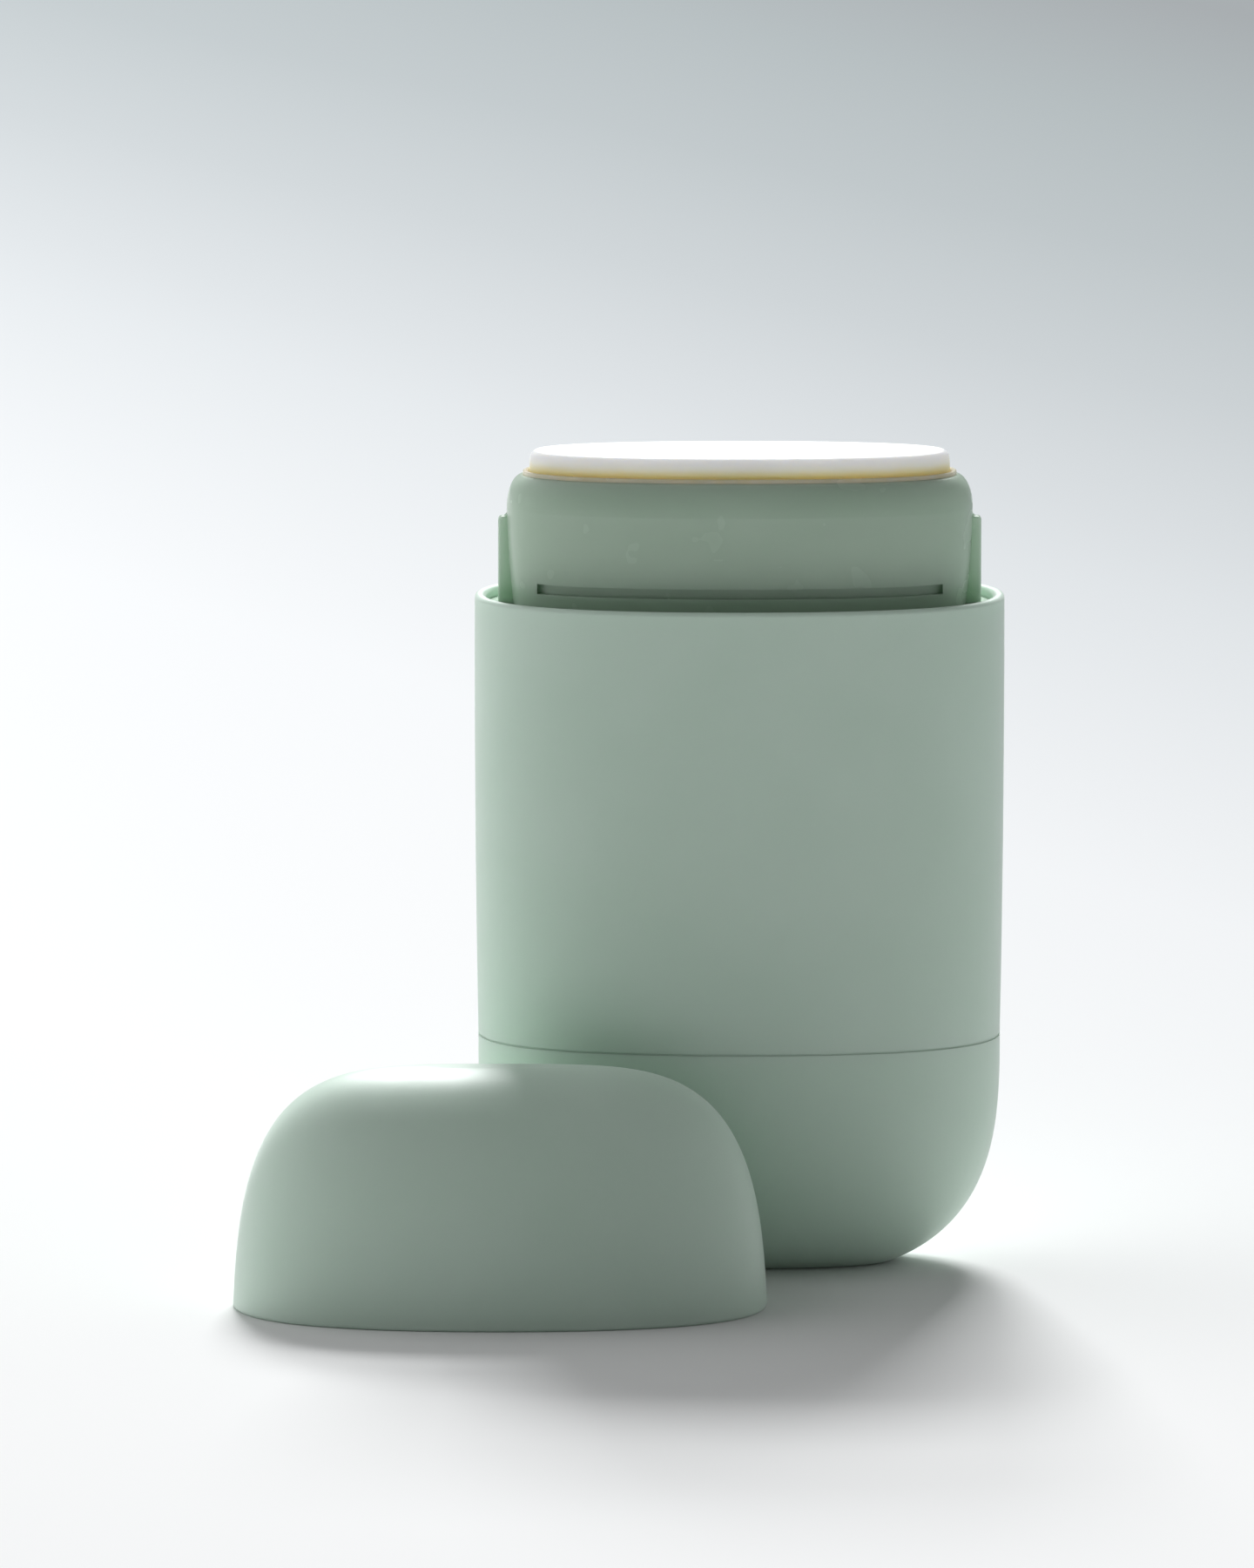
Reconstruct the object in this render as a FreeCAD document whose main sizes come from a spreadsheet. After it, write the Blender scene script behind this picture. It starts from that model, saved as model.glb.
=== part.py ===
# Refillable deodorant stick, stood upright with its cap taken off beside it.
# Millimetres, +Z up.  X runs along the width, -Y is the front.
# The origin is the middle of the flat foot, on the surface that the stick stands on.
import FreeCAD, Part
import os
import re
import Sketcher

SIZES = {
    # Case outline
    "case_half_width": 31.05,
    "case_half_depth": 17.0,
    "oval_fullness": 0.653,
    "rim_height": 79.4,
    "seam_height": 27.3,
    "seam_taper": 0.35,
    "upper_taper": 0.05,
    "upper_taper_share": 0.45,
    "case_wall": 1.3,
    "rim_round": 0.45,
    "seam_reveal": 0.15,
    "snug_gap": 0.1,
    # Base cup
    "dome_sink": 2.05,
    "base_width_power": 2.95,
    "base_depth_power": 1.7,
    "dome_power": 3.0,
    "base_wall": 1.8,
    "base_floor": 2.6,
    "spigot_rise": 3.0,
    "spigot_depth": 4.0,
    "spigot_wall": 1.2,
    # Turning dial
    "dial_radius": 5.2,
    "dial_gap": 0.2,
    "dial_inset": 0.4,
    "dial_thickness": 3.6,
    "dial_notches": 18,
    "boss_radius": 7.6,
    "boss_wall": 2.2,
    "hub_radius": 3.6,
    "hub_rise": 3.2,
    "running_gap": 0.08,
    "clip_radius": 5.8,
    "clip_thickness": 1.0,
    "clip_groove": 0.5,
    "grip_bar": 1.6,
    "grip_depth": 2.0,
    "rim_notch": 0.45,
    "recess_bevel": 0.35,
    "scoop_margin": 0.9,
    "rod_flat": 4.0,
    "rod_seat": 4.6,
    "rod_gap": 0.12,
    "rod_bevel": 0.5,
    # Inner frame
    "ledge_drop": 1.15,
    "ledge_width": 4.5,
    "ledge_depth": 6.75,
    "ledge_thickness": 1.5,
    "frame_wall": 1.2,
    "frame_floor": 2.0,
    "flange_thickness": 1.5,
    "guide_gap": 0.25,
    # Refill pod
    "pod_bottom": 24.55,
    "seat_gap": 0.05,
    "tube_bevel": 0.4,
    "neck_wall": 1.7,
    "neck_flare": 0.75,
    "neck_rise": 11.4,
    "shoulder_rise": 3.8,
    "lip_rise": 0.5,
    "lip_wall": 0.55,
    "lip_round": 0.18,
    "groove_lift": 1.8,
    "groove_width": 1.2,
    "groove_depth": 0.5,
    "groove_end": 2.85,
    "fin_margin": 2.75,
    "fin_drop": 1.1,
    "fin_thickness": 1.6,
    "fin_round": 0.45,
    "fin_edge_round": 0.3,
    "fin_web": 0.6,
    # Lead screw and platform
    "pod_floor_rise": 2.0,
    "pod_floor_thickness": 2.5,
    "journal_radius": 4.2,
    "flange_radius": 6.0,
    "socket_depth": 6.0,
    "screw_core": 3.0,
    "thread_depth": 1.0,
    "thread_lead": 6.0,
    "thread_root": 2.6,
    "thread_crest": 1.5,
    "thread_gap": 0.25,
    "thread_sink": 0.1,
    "screw_cover": 6.1,
    "screw_clearance": 0.3,
    "screw_bevel": 0.5,
    "retraction": 2.4,
    "platform_lift": 6.15,
    "platform_thickness": 2.0,
    "platform_skirt": 3.0,
    "skirt_wall": 1.2,
    "collar_radius": 6.2,
    "collar_rise": 5.0,
    # Balm
    "balm_proud": 2.4,
    "balm_gap": 0.25,
    "balm_bore": 4.6,
    "balm_round": 0.9,
    # Cap; its place is in half widths and half depths of the case
    "cap_height": 28.2,
    "cap_width_power": 4.4,
    "cap_depth_power": 2.2,
    "cap_draft": 0.055,
    "cap_wall": 1.3,
    "cap_round": 0.4,
    "cap_aside": 0.9,
    "cap_ahead": 1.7,
    "liner_bottom": 1.6,
    "liner_top": 7.0,
    "liner_wall": 0.8,
}

DERIVED = {
    "seam_half_width": "case_half_width - seam_taper",
    "seam_half_depth": "case_half_depth - seam_taper",
    "bore_half_width": "seam_half_width - case_wall",
    "bore_half_depth": "seam_half_depth - case_wall",
    "base_dome": "seam_height - seam_reveal + dome_sink",
    "recess_top": "dial_inset + dial_thickness + dial_gap",
    "boss_top": "recess_top + boss_wall",
    "clip_bottom": "boss_top + dial_gap",
    "hub_top": "clip_bottom + clip_thickness + hub_rise",
    "rod_bottom": "hub_top - rod_seat",
    "ledge_top": "rim_height - ledge_drop",
    "neck_low_half_width": "case_half_width - ledge_width",
    "neck_low_half_depth": "case_half_depth - ledge_depth",
    "spigot_top": "seam_height + spigot_rise",
    "floor_top": "pod_bottom - seat_gap",
    "tube_half_width": "neck_low_half_width - guide_gap",
    "tube_half_depth": "neck_low_half_depth - guide_gap",
    "neck_bottom": "ledge_top + seat_gap",
    "neck_wide_height": "neck_bottom + neck_rise",
    "neck_wide_half_width": "neck_low_half_width + neck_flare",
    "neck_wide_half_depth": "neck_low_half_depth + neck_flare",
    "pod_bore_half_width": "neck_low_half_width - neck_wall",
    "pod_bore_half_depth": "neck_low_half_depth - neck_wall",
    "lip_half_width": "pod_bore_half_width + lip_wall",
    "lip_half_depth": "pod_bore_half_depth + lip_wall",
    "shoulder_height": "neck_wide_height + shoulder_rise",
    "lip_height": "shoulder_height + lip_rise",
    "groove_height": "neck_bottom + groove_lift",
    "groove_half_length": "neck_low_half_width - groove_end",
    "fin_reach": "case_half_width - fin_margin",
    "fin_height": "neck_wide_height - fin_drop",
    "balm_half_width": "pod_bore_half_width - balm_gap",
    "balm_half_depth": "pod_bore_half_depth - balm_gap",
    "balm_top": "lip_height + balm_proud",
    "screw_top": "balm_top - screw_cover",
    "pod_floor_bottom": "pod_bottom + pod_floor_rise",
    "pod_floor_top": "pod_floor_bottom + pod_floor_thickness",
    "screw_flange_bottom": "pod_floor_top + dial_gap",
    "screw_flange_top": "screw_flange_bottom + clip_thickness",
    "socket_top": "pod_bottom + socket_depth",
    "rod_top": "socket_top - 2 * dial_gap",
    "thread_start": "screw_flange_top + thread_root",
    "platform_top": "screw_flange_top + platform_lift",
    "skirt_bottom": "platform_top - platform_skirt",
    "collar_top": "platform_top + collar_rise",
    "cap_x": "-cap_aside * case_half_width",
    "cap_y": "-cap_ahead * case_half_depth",
}

doc = FreeCAD.newDocument("deodorant_stick")
sheet = doc.addObject("Spreadsheet::Sheet", "sizes")
for row, (alias, value) in enumerate(list(SIZES.items()) + list(DERIVED.items()), start=1):
    sheet.set(f"A{row}", alias)
    sheet.set(f"B{row}", f"={value}" if isinstance(value, str) else str(value))
    sheet.setAlias(f"B{row}", alias)
doc.recompute()

ALIASES = re.compile(r"\b(" + "|".join(list(SIZES) + list(DERIVED)) + r")\b")


def linked(expression):
    """The expression with each size's name pointing at the sheet."""
    return ALIASES.sub(r"sizes.\1", expression)


def value_of(expression):
    """The number that an expression over the sheet gives."""
    return float(sheet.evalExpression(linked(expression)))


def bind(item, path, expression):
    item.setExpression(path, linked(expression))


def origin_item(body, role):
    return [item for item in body.Origin.OriginFeatures if item.Role == role][0]


def new_body(label):
    body = doc.addObject("PartDesign::Body", label)
    body.Label = label
    return body


def new_sketch(body, name, height="0", plane="XY_Plane"):
    """A sketch parallel to one of the body's origin planes, moved along its normal."""
    sketch = body.newObject("Sketcher::SketchObject", name)
    sketch.AttachmentSupport = (origin_item(body, plane), [""])
    sketch.MapMode = "FlatFace"
    bind(sketch, "AttachmentOffset.Base.z", height)
    return sketch


def dimension(sketch, kind, name, expression, *places):
    """Add a named dimension to the sketch and tie it to the sheet."""
    number = sketch.addConstraint(Sketcher.Constraint(kind, *places, value_of(expression)))
    sketch.renameConstraint(number, name)
    bind(sketch, f"Constraints.{name}", expression)


def add_oval(sketch, half_width, half_depth, tag=""):
    """Four curves that meet on the axes; oval_fullness sets how square the corners are."""
    wide, deep = value_of(half_width), value_of(half_depth)
    full = value_of("oval_fullness")
    shape = [(wide, 0), (wide, full * deep), (full * wide, deep), (0, deep)]
    handles = {}
    for side_x, side_y in ((1, 1), (-1, 1), (1, -1), (-1, -1)):
        poles = [FreeCAD.Vector(side_x * x, side_y * y, 0) for x, y in shape]
        curve = Part.BSplineCurve()
        curve.buildFromPolesMultsKnots(poles, [4, 4], [0, 1], False, 3)
        first = sketch.addGeometry(curve, False)
        sketch.exposeInternalGeometry(first)
        handles[(side_x, side_y)] = [first + 1 + step for step in range(4)]
    lead = handles[(1, 1)]
    for index, direction, name, expression in (
            (0, "DistanceX", "half_width", half_width),
            (1, "DistanceX", "end_handle_x", half_width),
            (1, "DistanceY", "end_handle_y", f"({half_depth}) * oval_fullness"),
            (2, "DistanceX", "side_handle_x", f"({half_width}) * oval_fullness"),
            (2, "DistanceY", "side_handle_y", half_depth),
            (3, "DistanceY", "half_depth", half_depth)):
        dimension(sketch, direction, name + tag, expression, -1, 1, lead[index], 3)
    sketch.addConstraint(Sketcher.Constraint("PointOnObject", lead[0], 3, -1))
    sketch.addConstraint(Sketcher.Constraint("PointOnObject", lead[3], 3, -2))
    for index in (0, 1, 2):
        left = handles[(-1, 1)][index]
        sketch.addConstraint(Sketcher.Constraint("Symmetric", lead[index], 3, left, 3, -2))
    for index in (1, 2, 3):
        front = handles[(1, -1)][index]
        sketch.addConstraint(Sketcher.Constraint("Symmetric", lead[index], 3, front, 3, -1))
    for index in (1, 2):
        corner = handles[(-1, -1)][index]
        front = handles[(1, -1)][index]
        sketch.addConstraint(Sketcher.Constraint("Symmetric", front, 3, corner, 3, -2))
    for here, index, there in (((-1, 1), 3, (1, 1)), ((1, -1), 0, (1, 1)),
                               ((-1, -1), 0, (-1, 1)), ((-1, -1), 3, (1, -1))):
        pair = (handles[here][index], 3, handles[there][index], 3)
        sketch.addConstraint(Sketcher.Constraint("Coincident", *pair))


def oval_sketch(body, name, height, half_width, half_depth):
    sketch = new_sketch(body, name, height)
    add_oval(sketch, half_width, half_depth)
    return sketch


def add_circle(sketch, radius, name="radius"):
    circle = Part.Circle(FreeCAD.Vector(0, 0, 0), FreeCAD.Vector(0, 0, 1), value_of(radius))
    number = sketch.addGeometry(circle, False)
    sketch.addConstraint(Sketcher.Constraint("Coincident", number, 3, -1, 1))
    dimension(sketch, "Radius", name, radius, number)


def circle_sketch(body, name, height, radius):
    sketch = new_sketch(body, name, height)
    add_circle(sketch, radius)
    return sketch


def polygon_sketch(body, name, corners, height="0", plane="XY_Plane"):
    """A closed outline of straight lines; each corner is a pair of expressions."""
    sketch = new_sketch(body, name, height, plane)
    points = [FreeCAD.Vector(value_of(x), value_of(y), 0) for x, y in corners]
    count = len(points)
    for index in range(count):
        line = Part.LineSegment(points[index], points[(index + 1) % count])
        sketch.addGeometry(line, False)
    for index in range(count):
        following = (index + 1) % count
        sketch.addConstraint(Sketcher.Constraint("Coincident", index, 2, following, 1))
    for index, (x, y) in enumerate(corners):
        for kind, letter, expression in (("DistanceX", "x", x), ("DistanceY", "y", y)):
            if expression == "0":
                axis = -2 if letter == "x" else -1
                sketch.addConstraint(Sketcher.Constraint("PointOnObject", index, 1, axis))
            else:
                dimension(sketch, kind, f"{letter}_{index}", expression, -1, 1, index, 1)
    return sketch


def pad(body, sketch, length, both_ways=False):
    feature = body.newObject("PartDesign::Pad", sketch.Name + "_pad")
    feature.Profile = sketch
    feature.Midplane = both_ways
    bind(feature, "Length", length)
    sketch.Visibility = False
    return feature


def pocket(body, sketch, length, both_ways=False):
    """Cut from the sketch along its normal, and check that material went."""
    doc.recompute()
    before = body.Shape.Volume
    feature = body.newObject("PartDesign::Pocket", sketch.Name + "_pocket")
    feature.Profile = sketch
    feature.Midplane = both_ways
    feature.Reversed = not both_ways
    bind(feature, "Length", length)
    doc.recompute()
    if body.Shape.Volume >= before - 0.001:
        raise ValueError(f"{feature.Name} cuts nothing")
    return feature


def loft(body, name, sections, cut=False):
    kind = "PartDesign::SubtractiveLoft" if cut else "PartDesign::AdditiveLoft"
    feature = body.newObject(kind, name)
    feature.Profile = sections[0]
    feature.Sections = sections[1:]
    feature.Ruled = False
    return feature


def edges_at(shape, height, test=None):
    """Names of the edges that lie wholly at one height, or at any height if that is None."""
    names = []
    for number, edge in enumerate(shape.Edges, start=1):
        box = edge.BoundBox
        level = height is None or max(abs(box.ZMin - height), abs(box.ZMax - height)) < 0.01
        if level and (test is None or test(box)):
            names.append(f"Edge{number}")
    return names


def round_edges(body, name, height, size, kind="Fillet", test=None):
    """Round or bevel the edges at a height, both given over the sheet, that pass the test."""
    doc.recompute()
    tip = body.Tip
    feature = body.newObject(f"PartDesign::{kind}", name)
    level = None if height is None else value_of(height)
    feature.Base = (tip, edges_at(tip.Shape, level, test))
    bind(feature, "Radius" if kind == "Fillet" else "Size", size)
    return feature


# Fractions of a dome's height where its outline is drawn, closer where it curves most
DOME_STEPS = (0.0, 0.25, 0.45, 0.62, 0.76, 0.87, 0.945, 0.985, 0.998)


def dome_sections(body, name, dome, steps):
    """Ovals that shrink along a rounded dome.  dome gives expressions for its foot, height,
    half_width, half_depth, powers, draft and which way it rises."""
    sections = []
    for number, step in enumerate(steps):
        left = f"(1 - ({step}) ^ dome_power)"
        rise = f"({dome['height']}) * ({step})"
        wide = f"(({dome['half_width']}) - {dome['draft']} * {rise}) * {left} ^ (1 / {dome['width_power']})"
        deep = f"(({dome['half_depth']}) - {dome['draft']} * {rise}) * {left} ^ (1 / {dome['depth_power']})"
        height = f"({dome['foot']}) {dome['way']} {rise}"
        sections.append(oval_sketch(body, f"{name}_{number}", height, wide, deep))
    return sections


def hexagon(body, name, height, across_flats):
    """A six-sided outline with two flats facing front and back."""
    half = f"({across_flats}) / 2"
    corner = f"({across_flats}) / sqrt(3)"
    half_corner = f"({across_flats}) / (2 * sqrt(3))"
    corners = [(corner, "0"), (half_corner, half), (f"-({half_corner})", half),
               (f"-({corner})", "0"), (f"-({half_corner})", f"-({half})"), (half_corner, f"-({half})")]
    return polygon_sketch(body, name, corners, height)


def make_base_cup():
    """The domed lower cup, with a spigot for the sleeve and a recess for the dial."""
    body = new_body("base_cup")
    outside = {"foot": "seam_height - seam_reveal", "height": "base_dome", "way": "-", "draft": "0",
               "half_width": "seam_half_width", "half_depth": "seam_half_depth",
               "width_power": "base_width_power", "depth_power": "base_depth_power"}
    foot_step = "(seam_height - seam_reveal) / base_dome"
    steps = [f"{share} * {foot_step}" for share in (0, 0.25, 0.45, 0.62, 0.76, 0.87, 0.95, 1)]
    loft(body, "outer_dome", dome_sections(body, "outer", outside, steps))
    pad(body, oval_sketch(body, "reveal", "seam_height - seam_reveal",
                          "seam_half_width - seam_reveal", "seam_half_depth - seam_reveal"),
        "seam_reveal")
    inside = dict(outside, foot="seam_height", height="seam_height - base_floor",
                  half_width="seam_half_width - base_wall", half_depth="seam_half_depth - base_wall")
    loft(body, "inner_dome", dome_sections(body, "inner", inside, DOME_STEPS), cut=True)
    ring = oval_sketch(body, "spigot", "seam_height - spigot_depth",
                       "bore_half_width - snug_gap", "bore_half_depth - snug_gap")
    add_oval(ring, "bore_half_width - snug_gap - spigot_wall",
             "bore_half_depth - snug_gap - spigot_wall", "_inside")
    pad(body, ring, "spigot_depth + spigot_rise")
    pad(body, circle_sketch(body, "boss", "recess_top", "boss_radius"), "boss_wall")
    pocket(body, circle_sketch(body, "dial_recess", "0", "dial_radius + dial_gap"), "recess_top")
    pocket(body, circle_sketch(body, "hub_bore", "recess_top", "hub_radius + running_gap"), "boss_wall")
    round_edges(body, "recess_edge", "0", "recess_bevel", "Chamfer",
                test=lambda box: box.XMax < value_of("dial_radius + 2 * dial_gap"))
    return body


def make_body_sleeve():
    """The straight oval sleeve, with a rounded rim and a fine step at the seam."""
    body = new_body("body_sleeve")
    pad(body, oval_sketch(body, "reveal", "seam_height", "seam_half_width - seam_reveal",
                          "seam_half_depth - seam_reveal"), "2 * seam_reveal")
    levels = (("seam_height + seam_reveal", "seam_taper"),
              ("seam_height + upper_taper_share * (rim_height - seam_height)", "upper_taper"),
              ("rim_height", "0"))
    for name, cut, wall in (("outside", False, "0"), ("inside", True, "case_wall")):
        if cut:
            levels = (("seam_height", "seam_taper"),) + levels[1:]
        sections = []
        for number, (height, taper) in enumerate(levels):
            sections.append(oval_sketch(body, f"{name}_{number}", height,
                                        f"case_half_width - {taper} - {wall}",
                                        f"case_half_depth - {taper} - {wall}"))
        loft(body, name, sections, cut)
    round_edges(body, "rim_edge", "rim_height", "rim_round")
    return body


def make_inner_frame():
    """The ledge inside the rim, with the guide tube that holds the refill under it."""
    body = new_body("inner_frame")
    tube = ("tube_half_width + guide_gap", "tube_half_depth + guide_gap")
    outer_tube = tuple(f"{size} + frame_wall" for size in tube)
    pad(body, oval_sketch(body, "guide_tube", "floor_top - frame_floor", *outer_tube),
        "ledge_top - floor_top + frame_floor")
    pad(body, oval_sketch(body, "ledge", "ledge_top - ledge_thickness",
                          "case_half_width - case_wall - snug_gap",
                          "case_half_depth - case_wall - snug_gap"), "ledge_thickness")
    pad(body, oval_sketch(body, "flange", "spigot_top", "bore_half_width - snug_gap",
                          "bore_half_depth - snug_gap"), "flange_thickness")
    pocket(body, oval_sketch(body, "pod_space", "floor_top", *tube), "rim_height - floor_top")
    pocket(body, circle_sketch(body, "rod_hole", "floor_top - frame_floor",
                               "rod_flat / sqrt(3) + dial_gap"), "frame_floor")
    return body


def make_dial():
    """The turning dial, with a finger bar between two scoops and a notched rim."""
    body = new_body("dial")
    pad(body, circle_sketch(body, "disc", "dial_inset", "dial_radius"), "dial_thickness")
    pad(body, circle_sketch(body, "hub", "dial_inset + dial_thickness", "hub_radius"),
        "hub_top - dial_inset - dial_thickness")
    scoop = new_sketch(body, "scoop", "dial_inset")
    reach, bar = value_of("dial_radius - scoop_margin"), value_of("grip_bar / 2")
    across = (reach ** 2 - bar ** 2) ** 0.5
    arc = Part.Arc(FreeCAD.Vector(across, bar, 0), FreeCAD.Vector(0, reach, 0),
                   FreeCAD.Vector(-across, bar, 0))
    scoop.addGeometry(arc, False)
    scoop.addGeometry(Part.LineSegment(FreeCAD.Vector(-across, bar, 0),
                                       FreeCAD.Vector(across, bar, 0)), False)
    scoop.addConstraint(Sketcher.Constraint("Coincident", 0, 2, 1, 1))
    scoop.addConstraint(Sketcher.Constraint("Coincident", 1, 2, 0, 1))
    scoop.addConstraint(Sketcher.Constraint("Coincident", 0, 3, -1, 1))
    scoop.addConstraint(Sketcher.Constraint("Horizontal", 1))
    dimension(scoop, "Radius", "reach", "dial_radius - scoop_margin", 0)
    dimension(scoop, "DistanceY", "bar_side", "grip_bar / 2", -1, 1, 1, 1)
    cut = pocket(body, scoop, "grip_depth")
    both = body.newObject("PartDesign::PolarPattern", "scoops")
    both.Originals = [cut]
    both.Axis = (origin_item(body, "Z_Axis"), [""])
    both.Angle = 360
    both.Occurrences = 2
    body.Tip = both
    notch = new_sketch(body, "notch", "dial_inset")
    circle = Part.Circle(FreeCAD.Vector(value_of("dial_radius"), 0, 0), FreeCAD.Vector(0, 0, 1),
                         value_of("rim_notch"))
    notch.addGeometry(circle, False)
    notch.addConstraint(Sketcher.Constraint("PointOnObject", 0, 3, -1))
    dimension(notch, "Radius", "size", "rim_notch", 0)
    dimension(notch, "DistanceX", "place", "dial_radius", -1, 1, 0, 3)
    cut = pocket(body, notch, "dial_thickness")
    rim = body.newObject("PartDesign::PolarPattern", "notches")
    rim.Originals = [cut]
    rim.Axis = (origin_item(body, "Z_Axis"), [""])
    rim.Angle = 360
    bind(rim, "Occurrences", "dial_notches")
    body.Tip = rim
    groove = new_sketch(body, "clip_seat", "clip_bottom")
    add_circle(groove, "hub_radius + dial_gap", "outside")
    add_circle(groove, "hub_radius - clip_groove", "inside")
    pocket(body, groove, "clip_thickness")
    pocket(body, hexagon(body, "rod_socket", "rod_bottom", "rod_flat + snug_gap"), "rod_seat")
    return body


def make_dial_clip():
    """The ring that snaps into the hub's groove and keeps the dial in the cup."""
    body = new_body("dial_clip")
    ring = circle_sketch(body, "ring", "clip_bottom + snug_gap / 2", "clip_radius")
    add_circle(ring, "hub_radius - clip_groove + snug_gap / 2", "bore")
    pad(body, ring, "clip_thickness - snug_gap")
    return body


def make_drive_rod():
    """The six-sided rod that carries the dial's turn up to the lead screw."""
    body = new_body("drive_rod")
    pad(body, hexagon(body, "rod", "rod_bottom + snug_gap / 2", "rod_flat"),
        "rod_top - rod_bottom - snug_gap / 2")
    round_edges(body, "rod_tip", "rod_top", "rod_bevel", "Chamfer")
    return body


def make_pod_shell():
    """The refill's shell: the neck with its rounded shoulder and lip, two end fins, the
    long groove and the tube that goes down into the frame."""
    body = new_body("pod_shell")
    fins = [("fin_reach", "neck_bottom"), ("fin_reach", "fin_height"),
            ("-fin_reach", "fin_height"), ("-fin_reach", "neck_bottom")]
    pad(body, polygon_sketch(body, "fins", fins, plane="XZ_Plane"), "fin_thickness", both_ways=True)
    round_edges(body, "fin_corners", "fin_height", "fin_round",
                test=lambda box: box.XLength < value_of("fin_round"))
    round_edges(body, "fin_edges", None, "fin_edge_round",
                test=lambda box: box.YLength < value_of("fin_edge_round")
                and box.ZMax > value_of("neck_bottom + fin_edge_round"))
    pad(body, oval_sketch(body, "tube", "pod_bottom", "tube_half_width", "tube_half_depth"),
        "neck_bottom - pod_bottom + seat_gap")
    flare = []
    for number, share in enumerate((0.0, 0.5, 1.0)):
        widening = f"neck_flare * sin(90 deg * {share})"
        flare.append(oval_sketch(body, f"flare_{number}",
                                 f"neck_bottom + (neck_wide_height - neck_bottom) * {share}",
                                 f"neck_low_half_width + {widening}",
                                 f"neck_low_half_depth + {widening}"))
    loft(body, "flare", flare)
    shoulder = []
    for number, angle in enumerate((0, 25, 50, 70, 90)):
        tuck = f"(1 - cos({angle} deg))"
        shoulder.append(oval_sketch(
            body, f"shoulder_{number}",
            f"neck_wide_height + (shoulder_height - neck_wide_height) * sin({angle} deg)",
            f"neck_wide_half_width - (neck_wide_half_width - lip_half_width) * {tuck}",
            f"neck_wide_half_depth - (neck_wide_half_depth - lip_half_depth) * {tuck}"))
    loft(body, "shoulder", shoulder)
    slab = [("groove_half_length", "case_half_depth"), ("-groove_half_length", "case_half_depth"),
            ("-groove_half_length", "-case_half_depth"), ("groove_half_length", "-case_half_depth")]
    pocket(body, polygon_sketch(body, "groove", slab, "groove_height"), "groove_width")
    pad(body, oval_sketch(body, "groove_floor", "groove_height",
                          "neck_low_half_width - groove_depth",
                          "neck_low_half_depth - groove_depth"), "groove_width")
    pad(body, oval_sketch(body, "lip", "shoulder_height", "lip_half_width", "lip_half_depth"),
        "lip_height - shoulder_height")
    web_foot = "(neck_wide_half_width + 3 / 2 * fin_web)"
    web_top = "(neck_wide_half_width - fin_web / 2)"
    web = [(web_foot, "fin_height - fin_web"), (web_top, "fin_height + fin_web"),
           (f"-{web_top}", "fin_height + fin_web"), (f"-{web_foot}", "fin_height - fin_web")]
    pad(body, polygon_sketch(body, "fin_webs", web, plane="XZ_Plane"),
        "fin_thickness - 2 * fin_edge_round", both_ways=True)
    pocket(body, oval_sketch(body, "balm_space", "pod_bottom", "pod_bore_half_width",
                             "pod_bore_half_depth"), "lip_height - pod_bottom")
    round_edges(body, "lip_edges", "lip_height", "lip_round")
    round_edges(body, "tube_foot", "pod_bottom", "tube_bevel", "Chamfer")
    return body


def make_pod_floor():
    """The plate that closes the refill and carries the lead screw."""
    body = new_body("pod_floor")
    plate = oval_sketch(body, "plate", "pod_floor_bottom", "pod_bore_half_width - snug_gap",
                        "pod_bore_half_depth - snug_gap")
    add_circle(plate, "journal_radius + running_gap", "bore")
    pad(body, plate, "pod_floor_thickness")
    return body


def make_lead_screw():
    """The left-hand screw: turned clockwise from below, it lifts the platform."""
    body = new_body("lead_screw")
    pad(body, circle_sketch(body, "journal", "pod_bottom", "journal_radius"),
        "screw_flange_top - pod_bottom")
    pad(body, circle_sketch(body, "flange", "screw_flange_bottom", "flange_radius"),
        "clip_thickness")
    pad(body, circle_sketch(body, "core", "screw_flange_top", "screw_core"),
        "screw_top - screw_flange_top")
    round_edges(body, "screw_tip", "screw_top", "screw_bevel", "Chamfer")
    add_thread(body, "screw_core - thread_sink", "thread_depth + thread_sink", "thread_root",
               "thread_crest", "thread_start", "screw_top - thread_lead / 2")
    groove = new_sketch(body, "clip_seat", "pod_floor_bottom - dial_gap - clip_thickness")
    add_circle(groove, "journal_radius + dial_gap", "outside")
    add_circle(groove, "journal_radius - clip_groove", "inside")
    pocket(body, groove, "clip_thickness")
    pocket(body, hexagon(body, "rod_socket", "pod_bottom", "rod_flat + 2 * rod_gap"),
           "socket_depth")
    return body


def add_thread(body, inner, depth, root, crest, start, stop, cut=False):
    """A trapezoid swept up a left-hand helix between two heights."""
    profile = [(inner, f"{start} - ({root}) / 2"), (f"{inner} + {depth}", f"{start} - ({crest}) / 2"),
               (f"{inner} + {depth}", f"{start} + ({crest}) / 2"), (inner, f"{start} + ({root}) / 2")]
    sketch = polygon_sketch(body, "thread_profile", profile, plane="XZ_Plane")
    doc.recompute()
    kind = "PartDesign::SubtractiveHelix" if cut else "PartDesign::AdditiveHelix"
    feature = body.newObject(kind, "thread")
    feature.Profile = sketch
    feature.ReferenceAxis = (sketch, ["V_Axis"])
    feature.Mode = 0
    feature.LeftHanded = True
    bind(feature, "Pitch", "thread_lead")
    bind(feature, "Height", f"({stop}) - ({start})")
    return feature


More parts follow.
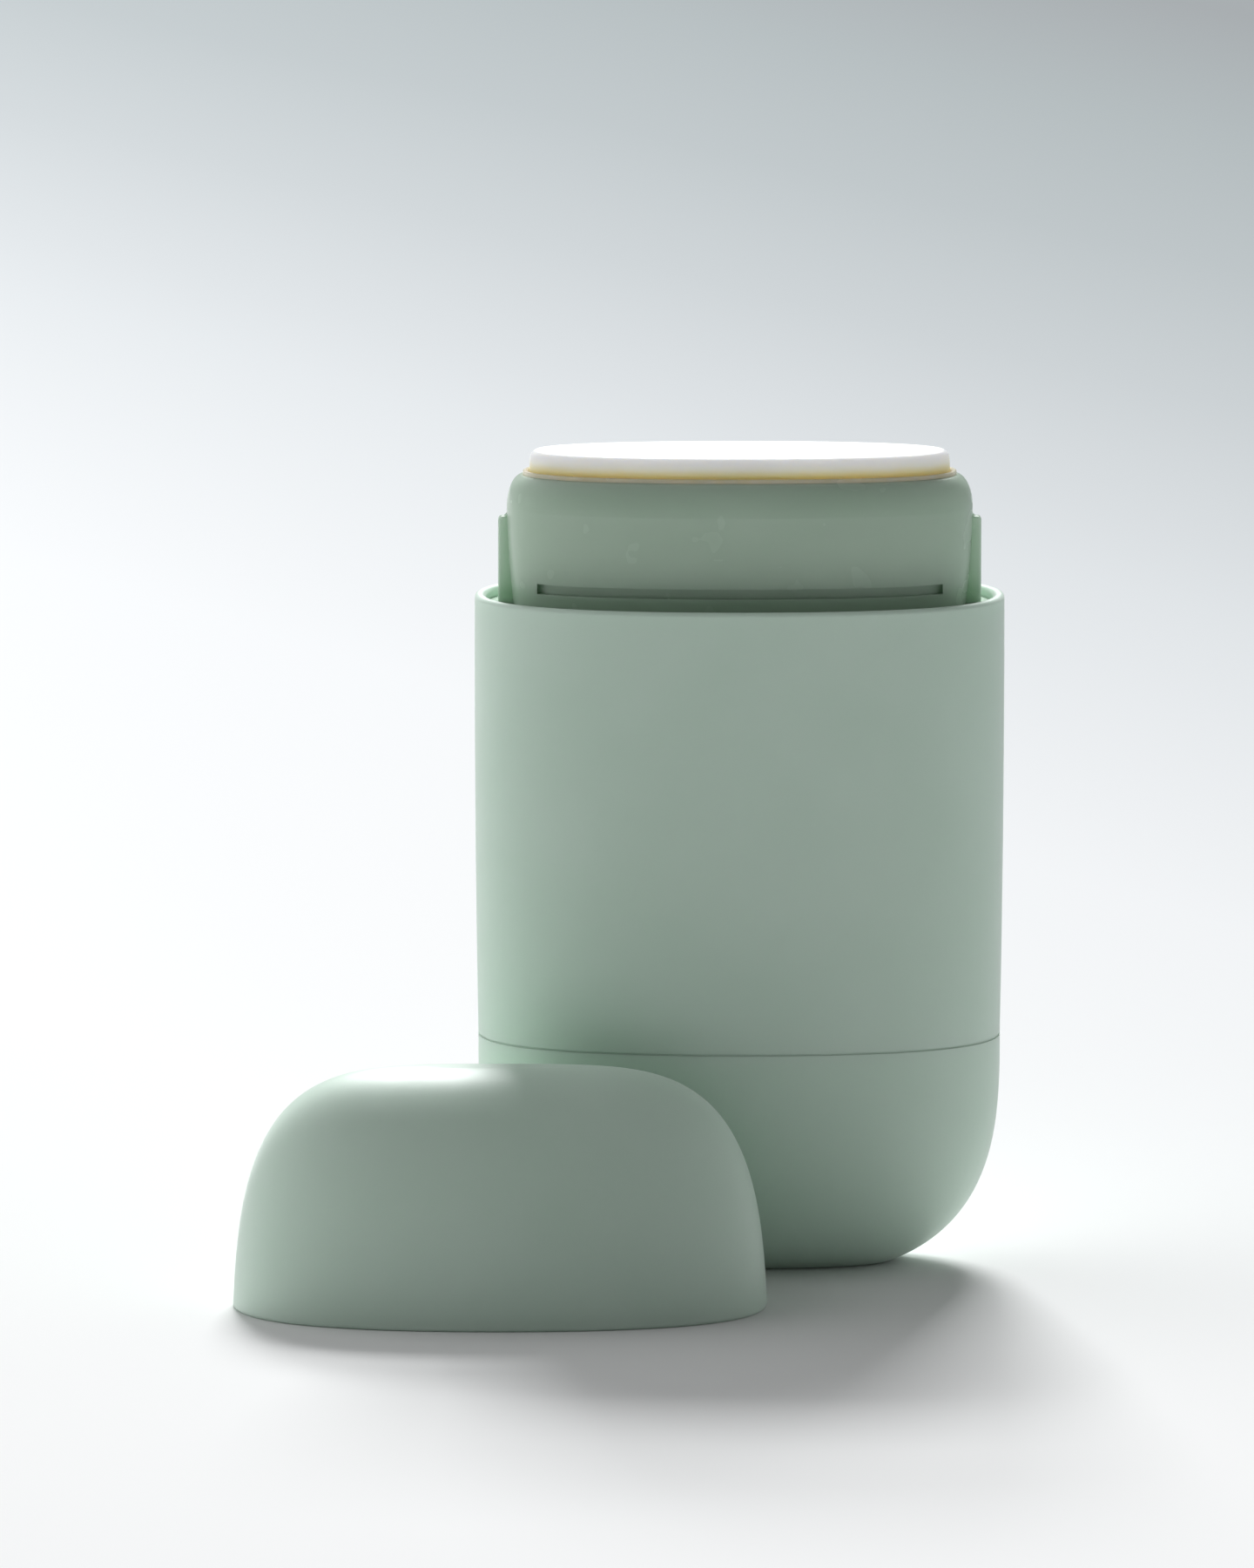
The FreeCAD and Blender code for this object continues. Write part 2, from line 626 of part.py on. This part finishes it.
def make_screw_clip():
    """The ring under the refill's floor that keeps the screw from lifting."""
    body = new_body("screw_clip")
    ring = circle_sketch(body, "ring", "pod_floor_bottom - dial_gap - clip_thickness + snug_gap / 2",
                         "flange_radius")
    add_circle(ring, "journal_radius - clip_groove + snug_gap / 2", "bore")
    pad(body, ring, "clip_thickness - snug_gap")
    return body


def make_platform():
    """The lift plate: skirt, threaded collar and the face that the balm is cast on."""
    body = new_body("platform")
    pad(body, oval_sketch(body, "plate", "skirt_bottom", "balm_half_width", "balm_half_depth"),
        "platform_skirt")
    pocket(body, oval_sketch(body, "underside", "skirt_bottom", "balm_half_width - skirt_wall",
                             "balm_half_depth - skirt_wall"), "platform_skirt - platform_thickness")
    pad(body, circle_sketch(body, "collar", "skirt_bottom", "collar_radius"),
        "collar_top - skirt_bottom")
    pocket(body, circle_sketch(body, "bore", "skirt_bottom", "screw_core + thread_gap"),
           "collar_top - skirt_bottom")
    add_thread(body, "screw_core - thread_gap", "thread_depth + 2 * thread_gap",
               "thread_root + 2 * thread_gap", "thread_crest + 2 * thread_gap",
               "thread_start - thread_lead", "collar_top + thread_lead", cut=True)
    return body


def make_balm():
    """The balm, cast round the collar and the screw, with softened top edges."""
    body = new_body("balm")
    pad(body, oval_sketch(body, "block", "platform_top", "balm_half_width", "balm_half_depth"),
        "balm_top - platform_top")
    round_edges(body, "top_edge", "balm_top", "balm_round")
    pocket(body, circle_sketch(body, "screw_bore", "platform_top", "balm_bore"),
           "screw_top + retraction + screw_clearance - platform_top")
    pocket(body, circle_sketch(body, "collar_seat", "platform_top", "collar_radius"),
           "collar_rise")
    return body


CAP_DOME = {"foot": "0", "height": "cap_height", "way": "+", "draft": "cap_draft",
            "half_width": "case_half_width", "half_depth": "case_half_depth",
            "width_power": "cap_width_power", "depth_power": "cap_depth_power"}


def place_with_cap(body):
    bind(body, "Placement.Base.x", "cap_x")
    bind(body, "Placement.Base.y", "cap_y")


def make_cap_shell():
    """The domed cap, standing on its open rim."""
    body = new_body("cap_shell")
    loft(body, "outer_dome", dome_sections(body, "outer", CAP_DOME, DOME_STEPS))
    hollow = dict(CAP_DOME, height="cap_height - cap_wall", half_width="case_half_width - cap_wall",
                  half_depth="case_half_depth - cap_wall")
    loft(body, "inner_dome", dome_sections(body, "inner", hollow, DOME_STEPS), cut=True)
    round_edges(body, "rim_edge", "0", "cap_round")
    place_with_cap(body)
    return body


def make_cap_liner():
    """The grip ring inside the cap's mouth, which holds on the refill's end fins."""
    body = new_body("cap_liner")
    steps = [f"(liner_bottom + (liner_top - liner_bottom) * {share}) / (cap_height - cap_wall)"
             for share in (0, 0.5, 1)]
    for name, cut, inset in (("outside", False, "cap_wall + snug_gap"),
                             ("inside", True, "cap_wall + snug_gap + liner_wall")):
        ring = dict(CAP_DOME, height="cap_height - cap_wall",
                    half_width=f"case_half_width - ({inset})", half_depth=f"case_half_depth - ({inset})")
        loft(body, name, dome_sections(body, name, ring, steps), cut)
    place_with_cap(body)
    return body


MAKERS = (make_base_cup, make_body_sleeve, make_inner_frame, make_dial, make_dial_clip,
          make_drive_rod, make_pod_shell, make_pod_floor, make_lead_screw, make_screw_clip,
          make_platform, make_balm, make_cap_shell, make_cap_liner)

bodies = [make() for make in MAKERS]
doc.recompute()

for item in doc.Objects:
    if "Invalid" in item.State or "Error" in item.State:
        raise ValueError(f"{item.Name} failed: {item.State}")
for body in bodies:
    if body.Shape.isNull() or not body.Shape.isValid() or len(body.Shape.Solids) != 1:
        raise ValueError(f"{body.Label} isn't one sound solid")

os.makedirs("parts", exist_ok=True)
for body in bodies:
    body.Shape.exportStep(f"parts/{body.Label}.step")
    print(body.Label, round(body.Shape.Volume, 1), body.Shape.BoundBox)
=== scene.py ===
"""A refillable deodorant stick, its cap set down beside it, in soft light from behind."""
import math

import bpy
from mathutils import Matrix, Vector


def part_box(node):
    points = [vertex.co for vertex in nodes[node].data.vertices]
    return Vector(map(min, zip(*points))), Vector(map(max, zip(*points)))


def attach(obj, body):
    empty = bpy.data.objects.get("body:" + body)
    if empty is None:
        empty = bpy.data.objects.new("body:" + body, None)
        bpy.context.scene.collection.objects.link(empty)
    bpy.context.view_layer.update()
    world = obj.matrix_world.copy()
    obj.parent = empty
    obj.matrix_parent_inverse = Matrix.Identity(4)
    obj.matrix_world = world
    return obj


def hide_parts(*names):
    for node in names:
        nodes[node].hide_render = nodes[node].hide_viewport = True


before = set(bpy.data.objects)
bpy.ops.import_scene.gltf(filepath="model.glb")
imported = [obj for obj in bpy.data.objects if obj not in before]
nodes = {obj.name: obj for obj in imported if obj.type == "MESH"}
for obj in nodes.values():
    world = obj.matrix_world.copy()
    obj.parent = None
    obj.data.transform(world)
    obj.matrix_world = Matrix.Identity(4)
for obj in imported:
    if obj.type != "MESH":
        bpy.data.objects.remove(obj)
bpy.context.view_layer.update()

MM = 0.001

# The photograph's view
CAMERA_PLACE = (-13.2 * MM, -1830.7 * MM, 342.8 * MM)
CAMERA_DROP = 0.155
LENS = 362.3
SENSOR = 36.0
NEAREST_SEEN = 0.05
FARTHEST_SEEN = 60.0

# Daylight from patches of sky. Each has its direction, the cosines from it at which its light
# begins and is full, and its level.
DAYLIGHT = (0.98, 0.99, 1.0)
SKY = (
    ((-0.95, 0.1, 0.3), 0.4, 0.95, 0.68),
    ((0.95, 0.1, 0.3), 0.4, 0.95, 0.46),
    ((-0.6, 0.6, 0.5), 0.6, 0.95, 0.30),
    ((-0.5, 0.2, 0.85), 0.7, 0.97, 0.25),
)

# Soft square lamps behind and above. Each has its elevation and its azimuth from straight behind,
# in degrees, and its power in watts.
LAMP_FAR = 6.0
LAMP_SIDE = 1.0
LAMPS = {
    "window_left": (47, -4, 140.0),
    "window_right": (48, 9, 86.0),
    "low_window_left": (33, -4, 116.0),
    "low_window_right": (38, 9, 76.0),
}

# The table: how far it reaches, and how its tone runs from near to far: pale near, then painted
# shade that darkens it to grey far behind. The run is measured backwards in metres, and turned a
# little so that the painted shade falls off towards the right as well.
FLOOR_SPAN = 16.0
FLOOR_TURN = 2.0
FLOOR_NEAR = 0.0
FLOOR_FAR = 1.7
FLOOR_TONES_WITH_PAINTED_SHADE = (
    (0.0, (0.865, 0.865, 0.862)),
    (0.22, (0.757, 0.765, 0.772)),
    (0.40, (0.596, 0.615, 0.627)),
    (0.45, (0.545, 0.565, 0.577)),
    (0.555, (0.450, 0.474, 0.485)),
    (0.675, (0.368, 0.395, 0.404)),
    (0.805, (0.310, 0.337, 0.344)),
    (0.945, (0.252, 0.267, 0.274)))

# The balm's block. The corner profile gives its oval the superellipse of the refill.
BALM_ROUND = 0.9 * MM
BALM_ROUND_STEPS = 6
BALM_CORNER_PROFILE = 0.555
BALM_CORNER_STEPS = 32
BALM_GRAIN = 0.45 * MM
BALM_SMOOTHING = 0.5
BALM_SMOOTHINGS = 3
SCREW_BORE = 4.6 * MM
BORE_STEPS = 48
BORE_ROOF = 3.2 * MM

# The plastics' colours
SAGE = (0.630, 0.790, 0.675)
SAGE_DEEP = (0.600, 0.765, 0.645)
REFILL_SAGE = (0.480, 0.620, 0.495)
REFILL_DEEP = (0.450, 0.590, 0.465)
NATURAL = (0.80, 0.79, 0.74)
NATURAL_DEEP = (0.74, 0.73, 0.67)
PLASTIC_IOR = 1.49
PLASTIC_GLOW_COLOUR = (0.9, 1.0, 0.9)
BLOOM_ROUGHNESS = 0.45

# Painted glow: a patchy honey colour along the top of the refill's lip
HONEY = (0.98, 0.82, 0.46)
HONEY_PALE = (0.98, 0.89, 0.66)
LIP_GLOW_DEPTH = 0.55 * MM
LIP_GLOW_FADE = 0.12 * MM

# The balm's tones, as screen colours, from its band's foot to its top: cream below, a honey
# painted glow in a band at the lip, and white towards the top, a painted highlight
BALM_BAND = 6 * MM
BALM_TONES_WITH_PAINTED_LIGHT = (
    (0.0, (252, 245, 230)),
    (0.30, (252, 238, 208)),
    (0.55, (250, 218, 156)),
    (0.66, (251, 230, 184)),
    (0.78, (253, 244, 228)),
    (0.92, (254, 252, 249)),
    (1.0, (254, 254, 253)))
BALM_GLOW_COLOUR = (1.0, 0.9, 0.75)
BALM_GLOW_REACH = 11.0 * MM


def srgb(red, green, blue):
    """A screen colour, 0 to 255, as the linear colour that a shader takes."""
    def linear(level):
        share = level / 255.0
        return share / 12.92 if share <= 0.04045 else ((share + 0.055) / 1.055) ** 2.4
    return (linear(red), linear(green), linear(blue))


class Finish:
    """A node material under way: its tree, its shader and its object coordinates."""

    def __init__(self, name):
        self.material = bpy.data.materials.new(name)
        self.material.use_nodes = True
        self.tree = self.material.node_tree
        self.tree.nodes.clear()
        self.output = self.add("ShaderNodeOutputMaterial")
        self.shader = self.add("ShaderNodeBsdfPrincipled")
        self.inputs = self.shader.inputs
        self.place = self.add("ShaderNodeTexCoord").outputs["Object"]
        self.link(self.shader.outputs["BSDF"], self.output.inputs["Surface"])

    def add(self, kind):
        return self.tree.nodes.new(kind)

    def link(self, source, target):
        self.tree.links.new(source, target)

    def noise(self, size, detail=2.0, roughness=0.5, stretch=(1, 1, 1)):
        """Soft noise whose patches are about size across, in metres."""
        mapping = self.add("ShaderNodeMapping")
        mapping.inputs["Scale"].default_value = stretch
        self.link(self.place, mapping.inputs["Vector"])
        noise = self.add("ShaderNodeTexNoise")
        noise.inputs["Scale"].default_value = 1.0 / size
        noise.inputs["Detail"].default_value = detail
        noise.inputs["Roughness"].default_value = roughness
        self.link(mapping.outputs["Vector"], noise.inputs["Vector"])
        return noise.outputs["Fac"]

    def between(self, value, low, high, start=0.0, end=1.0):
        """The value's run from start to end, spread from low to high."""
        spread = self.add("ShaderNodeMapRange")
        spread.inputs["From Min"].default_value = start
        spread.inputs["From Max"].default_value = end
        spread.inputs["To Min"].default_value = low
        spread.inputs["To Max"].default_value = high
        self.link(value, spread.inputs["Value"])
        return spread.outputs["Result"]

    def ramp(self, value, stops):
        """Colours at places along the value's run from 0 to 1."""
        ramp = self.add("ShaderNodeValToRGB")
        steps = ramp.color_ramp.elements
        while len(steps) < len(stops):
            steps.new(0.5)
        for step, (place, colour) in zip(steps, stops):
            step.position = place
            step.color = (*colour, 1.0)
        self.link(value, ramp.inputs["Fac"])
        return ramp.outputs["Color"]

    def height(self, low, high):
        """0 at the height low, 1 at the height high."""
        parts = self.add("ShaderNodeSeparateXYZ")
        self.link(self.place, parts.inputs["Vector"])
        return self.between(parts.outputs["Z"], 0.0, 1.0, low, high)

    def sum(self, first, second):
        add = self.add("ShaderNodeMath")
        self.link(first, add.inputs[0])
        self.link(second, add.inputs[1])
        return add.outputs["Value"]

    def bump(self, value, depth, strength, under=None):
        """Dents of the given depth, over those of an earlier bump."""
        bump = self.add("ShaderNodeBump")
        bump.inputs["Strength"].default_value = strength
        bump.inputs["Distance"].default_value = depth
        self.link(value, bump.inputs["Height"])
        if under is not None:
            self.link(under, bump.inputs["Normal"])
        return bump.outputs["Normal"]

    def glow(self, weight, colour, reach):
        """Light that goes in and comes out again up to about reach away."""
        self.inputs["Subsurface Weight"].default_value = weight
        self.inputs["Subsurface Radius"].default_value = colour
        self.inputs["Subsurface Scale"].default_value = reach


def moulded_plastic(name, light, deep, roughness, grain, glow, reach, bloom):
    """Plastic from a mould: faint clouds of tone, a fine grain, a soft glow and pale edges."""
    finish = Finish(name)
    clouds = finish.noise(14 * MM, detail=3.0)
    colour = finish.ramp(clouds, ((0.3, deep), (0.7, light)))
    finish.link(colour, finish.inputs["Base Color"])
    patches = finish.between(finish.noise(5 * MM), roughness - 0.05, roughness + 0.05)
    finish.link(patches, finish.inputs["Roughness"])
    waves = finish.bump(finish.noise(9 * MM), grain * 2.5, 0.5)
    pores = finish.noise(0.22 * MM, detail=4.0, roughness=0.6)
    finish.link(finish.bump(pores, grain, 0.6, waves), finish.inputs["Normal"])
    finish.inputs["IOR"].default_value = PLASTIC_IOR
    finish.glow(glow, PLASTIC_GLOW_COLOUR, reach)
    finish.inputs["Sheen Weight"].default_value = bloom
    finish.inputs["Sheen Roughness"].default_value = BLOOM_ROUGHNESS
    return finish


def paint_lip_glow(finish):
    """Paints a thin, patchy honey glow along the top of the refill's lip."""
    colour = finish.inputs["Base Color"]
    plastic = colour.links[0].from_socket
    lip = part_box("pod_shell")[1].z
    patches = finish.between(finish.noise(3 * MM, detail=3.0), -0.5, 0.0)
    # Painted glow: honey over the lip from this height up to its top.
    lip_glow_band = finish.height(lip - LIP_GLOW_DEPTH, lip - LIP_GLOW_DEPTH + LIP_GLOW_FADE)
    honey = finish.ramp(finish.noise(2 * MM), ((0.3, HONEY), (0.7, HONEY_PALE)))
    blend = finish.add("ShaderNodeMix")
    blend.data_type = "RGBA"
    finish.link(finish.sum(lip_glow_band, patches), blend.inputs["Factor"])
    finish.link(plastic, blend.inputs["A"])
    finish.link(honey, blend.inputs["B"])
    finish.link(blend.outputs["Result"], colour)


def balm_finish():
    """Painted highlight white at the top, painted honey glow in a band at the lip, cream below it."""
    finish = Finish("balm_surface")
    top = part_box("balm")[1].z
    unevenness = finish.between(finish.noise(4 * MM, detail=3.0), -0.04, 0.04)
    depth = finish.sum(finish.height(top - BALM_BAND, top), unevenness)
    # The ramp paints the highlight and the honey glow into the balm's colour.
    tones = tuple((place, srgb(*tone)) for place, tone in BALM_TONES_WITH_PAINTED_LIGHT)
    finish.link(finish.ramp(depth, tones), finish.inputs["Base Color"])
    finish.link(finish.between(finish.noise(2 * MM), 0.42, 0.58), finish.inputs["Roughness"])
    wiped = finish.noise(1.6 * MM, detail=3.0, stretch=(0.35, 1, 1))
    wipes = finish.bump(wiped, 0.06 * MM, 0.4)
    crumbs = finish.noise(0.25 * MM, detail=3.0)
    finish.link(finish.bump(crumbs, 0.015 * MM, 0.4, wipes), finish.inputs["Normal"])
    finish.glow(1.0, BALM_GLOW_COLOUR, BALM_GLOW_REACH)
    return finish


def dress(finish, *names):
    """Puts the finish on CAD nodes."""
    for name in names:
        node = nodes[name]
        for slot in node.material_slots:
            slot.material = finish.material
        if not node.material_slots:
            node.data.materials.append(finish.material)


def only(piece):
    """Makes piece the one object that operators act on."""
    bpy.ops.object.select_all(action="DESELECT")
    piece.select_set(True)
    bpy.context.view_layer.objects.active = piece


def pick_edges(piece, test):
    """Goes into edit mode with the edges selected whose two ends the test picks."""
    only(piece)
    mesh = piece.data
    for part in (*mesh.vertices, *mesh.edges, *mesh.polygons):
        part.select = False
    for edge in mesh.edges:
        edge.select = test(*(mesh.vertices[index].co for index in edge.vertices))
    bpy.context.tool_settings.mesh_select_mode = (False, True, False)
    bpy.ops.object.mode_set(mode="EDIT")


def leave_edit():
    bpy.ops.object.mode_set(mode="OBJECT")


def settle(piece):
    """Brings the piece's place and size into its mesh."""
    only(piece)
    bpy.ops.object.transform_apply(location=True, rotation=True, scale=True)


def apply_modifier(piece, kind, **settings):
    only(piece)
    modifier = piece.modifiers.new(kind.lower(), kind)
    for name, value in settings.items():
        setattr(modifier, name, value)
    bpy.ops.object.modifier_apply(modifier=modifier.name)


def make_balm():
    """The block of balm: an oval bar with soft top edges, bored for the screw."""
    low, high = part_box("balm")
    bpy.ops.object.select_all(action="DESELECT")
    bpy.ops.mesh.primitive_cube_add(size=2.0, location=(0, 0, 0))
    block = bpy.context.object
    block.name = "balm_block"
    pick_edges(block, lambda a, b: abs(a.z - b.z) > 1.0)
    bpy.ops.mesh.bevel(offset=1.0, offset_type="OFFSET", segments=BALM_CORNER_STEPS,
                       profile=BALM_CORNER_PROFILE)
    bpy.ops.mesh.select_all(action="SELECT")
    bpy.ops.mesh.remove_doubles(threshold=0.001)
    leave_edit()
    block.scale = (high - low) / 2
    block.location = (low + high) / 2
    settle(block)
    pick_edges(block, lambda a, b: min(a.z, b.z) > high.z - 0.01 * MM)
    bpy.ops.mesh.bevel(offset=BALM_ROUND, offset_type="OFFSET", segments=BALM_ROUND_STEPS)
    leave_edit()
    drill_foot, drill_tip = low.z - BORE_ROOF, high.z - BORE_ROOF
    bpy.ops.mesh.primitive_cylinder_add(
        vertices=BORE_STEPS, radius=SCREW_BORE, depth=drill_tip - drill_foot,
        location=(0, 0, (drill_foot + drill_tip) / 2))
    drill = bpy.context.object
    settle(drill)
    apply_modifier(block, "BOOLEAN", operation="DIFFERENCE", object=drill, solver="EXACT")
    bpy.data.objects.remove(drill)
    apply_modifier(block, "REMESH", mode="VOXEL", voxel_size=BALM_GRAIN, use_smooth_shade=True)
    apply_modifier(block, "SMOOTH", factor=BALM_SMOOTHING, iterations=BALM_SMOOTHINGS)
    return block


def make_floor():
    """A pale table top with painted shade that darkens it to grey far behind."""
    bpy.ops.object.select_all(action="DESELECT")
    bpy.ops.mesh.primitive_grid_add(x_subdivisions=8, y_subdivisions=8, size=FLOOR_SPAN,
                                    location=(0, 0, 0))
    floor = bpy.context.object
    floor.name = "table_top"
    finish = Finish("pale_table")
    # Painted shade: the table's tone darkens with distance behind it and towards the right.
    slope = finish.add("ShaderNodeVectorMath")
    slope.operation = "DOT_PRODUCT"
    finish.link(finish.place, slope.inputs[0])
    slope.inputs[1].default_value = (FLOOR_TURN, 1.0, 0.0)
    along = finish.between(slope.outputs["Value"], 0.0, 1.0, FLOOR_NEAR, FLOOR_FAR)
    finish.link(finish.ramp(along, FLOOR_TONES_WITH_PAINTED_SHADE), finish.inputs["Base Color"])
    finish.inputs["Roughness"].default_value = 1.0
    finish.inputs["Specular IOR Level"].default_value = 0.0
    floor.data.materials.append(finish.material)


def make_lamps():
    """Large soft lamps, which set where the shadows fall."""
    for name, (elevation, azimuth, watts) in LAMPS.items():
        lamp = bpy.data.lights.new(name, "AREA")
        lamp.shape = "SQUARE"
        lamp.size = LAMP_SIDE
        lamp.energy = watts
        lamp.color = DAYLIGHT
        holder = bpy.data.objects.new(name, lamp)
        bpy.context.scene.collection.objects.link(holder)
        tilt, turn = math.radians(elevation), math.radians(azimuth)
        level = math.cos(tilt)
        towards = Vector((level * math.sin(turn), level * math.cos(turn), math.sin(tilt)))
        holder.location = LAMP_FAR * towards
        holder.rotation_euler = (-towards).to_track_quat("-Z", "Y").to_euler()


def make_light():
    """The world: soft daylight patches; past the table the camera sees its far painted shade."""
    world = bpy.context.scene.world or bpy.data.worlds.new("room")
    bpy.context.scene.world = world
    world.use_nodes = True
    tree = world.node_tree
    tree.nodes.clear()

    def add(kind):
        return tree.nodes.new(kind)

    direction = add("ShaderNodeTexCoord").outputs["Generated"]
    daylight = add("ShaderNodeBackground")
    daylight.inputs["Color"].default_value = (*DAYLIGHT, 1.0)
    level = None
    for towards, begins, full, strength in SKY:
        facing = add("ShaderNodeVectorMath")
        facing.operation = "DOT_PRODUCT"
        facing.inputs[1].default_value = Vector(towards).normalized()
        tree.links.new(direction, facing.inputs[0])
        share = add("ShaderNodeMapRange")
        share.interpolation_type = "SMOOTHSTEP"
        share.inputs["From Min"].default_value = begins
        share.inputs["From Max"].default_value = full
        tree.links.new(facing.outputs["Value"], share.inputs["Value"])
        total = add("ShaderNodeMath")
        total.operation = "MULTIPLY_ADD"
        total.inputs[1].default_value = strength
        total.inputs[2].default_value = 0.0
        tree.links.new(share.outputs["Result"], total.inputs[0])
        if level is not None:
            tree.links.new(level, total.inputs[2])
        level = total.outputs["Value"]
    tree.links.new(level, daylight.inputs["Strength"])
    # Where the camera sees past the table: the table's farthest painted shade.
    seen = add("ShaderNodeBackground")
    seen.inputs["Color"].default_value = (*FLOOR_TONES_WITH_PAINTED_SHADE[-1][1], 1.0)
    rays = add("ShaderNodeLightPath")
    either = add("ShaderNodeMixShader")
    tree.links.new(rays.outputs["Is Camera Ray"], either.inputs["Fac"])
    tree.links.new(daylight.outputs["Background"], either.inputs[1])
    tree.links.new(seen.outputs["Background"], either.inputs[2])
    output = add("ShaderNodeOutputWorld")
    tree.links.new(either.outputs["Shader"], output.inputs["Surface"])


def make_camera():
    """The photograph's camera, with colours shown as they are."""
    camera = bpy.data.cameras.new("photo_view")
    camera.lens = LENS
    camera.sensor_width = SENSOR
    camera.clip_start = NEAREST_SEEN
    camera.clip_end = FARTHEST_SEEN
    holder = bpy.data.objects.new("photo_view", camera)
    bpy.context.scene.collection.objects.link(holder)
    holder.location = CAMERA_PLACE
    holder.rotation_euler = (math.pi / 2 - CAMERA_DROP, 0, 0)
    bpy.context.scene.camera = holder
    bpy.context.scene.view_settings.view_transform = "Standard"


make_camera()
make_light()
make_lamps()
make_floor()

case_plastic = moulded_plastic(
    "case_plastic", SAGE, SAGE_DEEP, roughness=0.46, grain=0.012 * MM,
    glow=0.35, reach=2.5 * MM, bloom=0.30)
frame_plastic = moulded_plastic(
    "frame_plastic", REFILL_SAGE, REFILL_DEEP, roughness=0.26, grain=0.006 * MM,
    glow=0.18, reach=2 * MM, bloom=0.10)
refill_plastic = moulded_plastic(
    "refill_plastic", REFILL_SAGE, REFILL_DEEP, roughness=0.26, grain=0.006 * MM,
    glow=0.50, reach=4 * MM, bloom=0.20)
natural_plastic = moulded_plastic(
    "natural_plastic", NATURAL, NATURAL_DEEP, roughness=0.35, grain=0.006 * MM,
    glow=0.3, reach=3 * MM, bloom=0.05)
paint_lip_glow(refill_plastic)
dress(case_plastic, "base_cup", "body_sleeve", "cap_shell")
dress(frame_plastic, "inner_frame", "cap_liner", "dial", "dial_clip")
dress(refill_plastic, "pod_shell", "pod_floor")
dress(natural_plastic, "drive_rod", "lead_screw", "screw_clip", "platform")

balm = make_balm()
balm.data.materials.clear()
balm.data.materials.append(balm_finish().material)
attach(balm, "lift")
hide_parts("balm")
